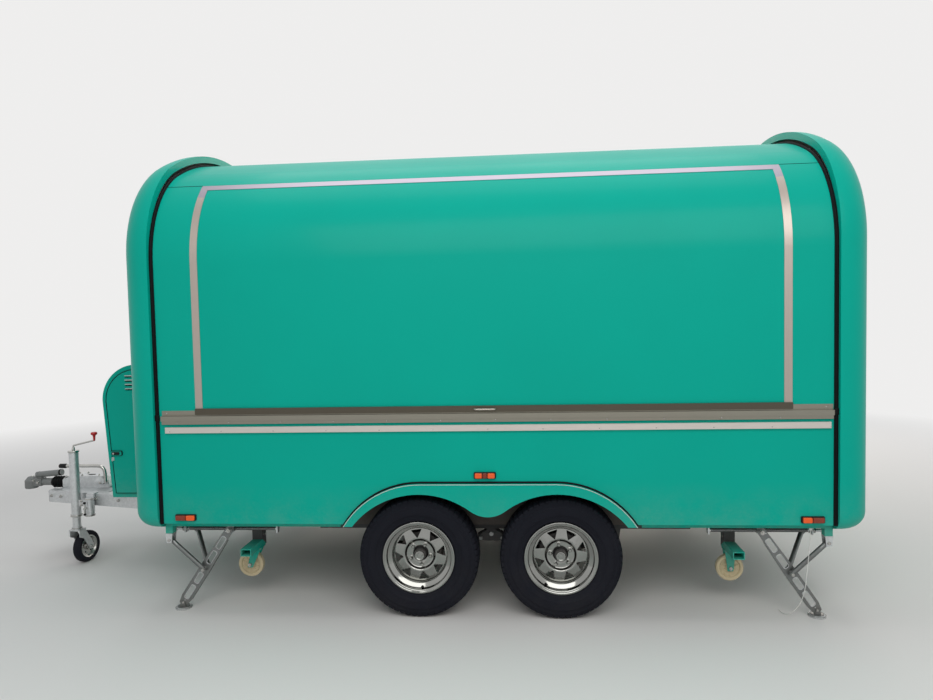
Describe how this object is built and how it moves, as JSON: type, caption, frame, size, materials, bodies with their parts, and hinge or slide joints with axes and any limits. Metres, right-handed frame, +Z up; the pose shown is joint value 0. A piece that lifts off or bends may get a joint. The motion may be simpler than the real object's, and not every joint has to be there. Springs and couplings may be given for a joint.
{
  "type": "food trailer",
  "caption": "Round-top concession trailer in glossy teal with a long serving hatch, gas box on the drawbar, nose wheel and wind-down corner steadies, parked",
  "frame": {"origin": "on the floor, under the middle of the overall length and width", "axes": "+X along the trailer from the coupling to the rear door, +Y away from the serving side, +Z up"},
  "size_m": [5.3565, 2.167, 2.7008],
  "materials": {
    "body_paint": "gloss",
    "stainless": "satin",
    "galvanised": "satin",
    "cast_grey": "satin",
    "bare_steel": "matte",
    "black_plastic": "matte",
    "rubber_black": "matte",
    "floor_wood": "matte",
    "pane": "gloss",
    "amber": "gloss",
    "red_lens": "gloss",
    "cord_white": "satin",
    "tyre_black": "matte",
    "wheel_silver": "satin",
    "castor_cream": "satin"
  },
  "bodies": {
    "trailer": {"axles": "bare_steel", "body_seals": "rubber_black", "castor_frames": "body_paint", "chassis_frame": "body_paint", "cord": "cord_white", "cord_gland": "cord_white", "coupling_bellows": "rubber_black", "coupling_head": "cast_grey", "coupling_housing": "galvanised", "door_hinges": "stainless", "drawbar_beams": "galvanised", "end_cap_front": "body_paint", "end_cap_rear": "body_paint", "fenders": "body_paint", "floor_deck": "floor_wood", "gas_box": "body_paint", "handbrake_lever": "black_plastic", "jockey_crank": "galvanised", "jockey_tube": "galvanised", "leaf_springs": "bare_steel", "main_rails": "galvanised", "roof": "body_paint", "shelf_rail": "stainless", "side_markers": "amber", "sill_rail": "stainless", "steady_frames": "body_paint", "tail_lamps": "red_lens", "wall_back": "body_paint", "wall_serving": "body_paint", "wheel_wells": "black_plastic", "worktop": "stainless"},
    "wheel_front_near": {"tyre_front_near": "tyre_black", "rim_front_near": "wheel_silver"},
    "wheel_front_far": {"tyre_front_far": "tyre_black", "rim_front_far": "wheel_silver"},
    "wheel_rear_near": {"tyre_rear_near": "tyre_black", "rim_rear_near": "wheel_silver"},
    "wheel_rear_far": {"tyre_rear_far": "tyre_black", "rim_rear_far": "wheel_silver"},
    "hatch": {"hatch_panel": "body_paint", "hatch_trim": "stainless"},
    "rear_door": {"door_panel": "body_paint", "door_glass": "pane", "door_fittings": "stainless"},
    "box_lid": {"box_door": "body_paint"},
    "brace_front_near": {"steady_brace_front_near": "galvanised"},
    "leg_front_near": {"steady_leg_front_near": "galvanised"},
    "castor_front_near": {"castor_wheel_front_near": "castor_cream"},
    "brace_front_far": {"steady_brace_front_far": "galvanised"},
    "leg_front_far": {"steady_leg_front_far": "galvanised"},
    "castor_front_far": {"castor_wheel_front_far": "castor_cream"},
    "brace_rear_near": {"steady_brace_rear_near": "galvanised"},
    "leg_rear_near": {"steady_leg_rear_near": "galvanised"},
    "castor_rear_near": {"castor_wheel_rear_near": "castor_cream"},
    "brace_rear_far": {"steady_brace_rear_far": "galvanised"},
    "leg_rear_far": {"steady_leg_rear_far": "galvanised"},
    "castor_rear_far": {"castor_wheel_rear_far": "castor_cream"},
    "jockey_slider": {"jockey_leg": "galvanised"},
    "jockey_swivel": {"jockey_fork": "galvanised"},
    "jockey_roller": {"jockey_wheel": "rubber_black"}
  },
  "joints": [
    {"name": "wheel_front_near_spin", "type": "hinge", "parent": "trailer", "child": "wheel_front_near", "pos_m": [0.30325, -0.9275, 0.325], "axis": [0, 1, 0], "continuous": true},
    {"name": "wheel_front_far_spin", "type": "hinge", "parent": "trailer", "child": "wheel_front_far", "pos_m": [0.30325, 0.9275, 0.325], "axis": [0, 1, 0], "continuous": true},
    {"name": "wheel_rear_near_spin", "type": "hinge", "parent": "trailer", "child": "wheel_rear_near", "pos_m": [1.06625, -0.9275, 0.325], "axis": [0, 1, 0], "continuous": true},
    {"name": "wheel_rear_far_spin", "type": "hinge", "parent": "trailer", "child": "wheel_rear_far", "pos_m": [1.06625, 0.9275, 0.325], "axis": [0, 1, 0], "continuous": true},
    {"name": "hatch_lift", "type": "hinge", "parent": "trailer", "child": "hatch", "pos_m": [0.67175, -0.85664, 2.37658], "axis": [-1, 0, 0], "range_deg": [0, 90]},
    {"name": "rear_door_hinge", "type": "hinge", "parent": "trailer", "child": "rear_door", "pos_m": [2.64125, 0.3625, 1.5425], "axis": [0, 0, 1], "range_deg": [0, 105]},
    {"name": "box_door_hinge", "type": "hinge", "parent": "trailer", "child": "box_lid", "pos_m": [-1.34825, -0.3473, 0.916], "axis": [0, 0, 1], "range_deg": [0, 90]},
    {"name": "steady_front_near_fold", "type": "hinge", "parent": "trailer", "child": "brace_front_near", "pos_m": [-1.08525, -0.99, 0.418], "axis": [0, -1, 0], "range_deg": [0, 48.81]},
    {"name": "steady_front_near_knee", "type": "hinge", "parent": "brace_front_near", "child": "leg_front_near", "pos_m": [-0.92425, -0.932, 0.234], "axis": [0, -1, 0], "range_deg": [-98.08, 0.3]},
    {"name": "castor_front_near_spin", "type": "hinge", "parent": "trailer", "child": "castor_front_near", "pos_m": [-0.71825, -0.77, 0.205], "axis": [0, 1, 0], "continuous": true},
    {"name": "steady_front_far_fold", "type": "hinge", "parent": "trailer", "child": "brace_front_far", "pos_m": [-1.08525, 0.99, 0.418], "axis": [0, -1, 0], "range_deg": [0, 48.81]},
    {"name": "steady_front_far_knee", "type": "hinge", "parent": "brace_front_far", "child": "leg_front_far", "pos_m": [-0.92425, 0.932, 0.234], "axis": [0, -1, 0], "range_deg": [-98.08, 0.3]},
    {"name": "castor_front_far_spin", "type": "hinge", "parent": "trailer", "child": "castor_front_far", "pos_m": [-0.71825, 0.77, 0.205], "axis": [0, 1, 0], "continuous": true},
    {"name": "steady_rear_near_fold", "type": "hinge", "parent": "trailer", "child": "brace_rear_near", "pos_m": [2.42875, -0.99, 0.418], "axis": [0, 1, 0], "range_deg": [0, 48.81]},
    {"name": "steady_rear_near_knee", "type": "hinge", "parent": "brace_rear_near", "child": "leg_rear_near", "pos_m": [2.26775, -0.932, 0.234], "axis": [0, 1, 0], "range_deg": [-98.08, 0.3]},
    {"name": "castor_rear_near_spin", "type": "hinge", "parent": "trailer", "child": "castor_rear_near", "pos_m": [1.99875, -0.77, 0.205], "axis": [0, 1, 0], "continuous": true},
    {"name": "steady_rear_far_fold", "type": "hinge", "parent": "trailer", "child": "brace_rear_far", "pos_m": [2.42875, 0.99, 0.418], "axis": [0, 1, 0], "range_deg": [0, 48.81]},
    {"name": "steady_rear_far_knee", "type": "hinge", "parent": "brace_rear_far", "child": "leg_rear_far", "pos_m": [2.26775, 0.932, 0.234], "axis": [0, 1, 0], "range_deg": [-98.08, 0.3]},
    {"name": "castor_rear_far_spin", "type": "hinge", "parent": "trailer", "child": "castor_rear_far", "pos_m": [1.99875, 0.77, 0.205], "axis": [0, 1, 0], "continuous": true},
    {"name": "jockey_wind", "type": "slide", "parent": "trailer", "child": "jockey_slider", "axis": [0, 0, 1], "range_m": [0, 0.067]},
    {"name": "jockey_swivel_turn", "type": "hinge", "parent": "jockey_slider", "child": "jockey_swivel", "pos_m": [-2.12825, -0.265, 0.262], "axis": [0, 0, 1], "continuous": true},
    {"name": "jockey_wheel_spin", "type": "hinge", "parent": "jockey_swivel", "child": "jockey_roller", "pos_m": [-2.12128, -0.18531, 0.105], "axis": [-0.9962, 0.0872, 0], "continuous": true}
  ],
  "couplings": [
    {"joint": "steady_front_near_knee", "follows": "steady_front_near_fold", "ratio": -2.0032},
    {"joint": "steady_front_far_knee", "follows": "steady_front_far_fold", "ratio": -2.0032},
    {"joint": "steady_rear_near_knee", "follows": "steady_rear_near_fold", "ratio": -2.0032},
    {"joint": "steady_rear_far_knee", "follows": "steady_rear_far_fold", "ratio": -2.0032}
  ]
}
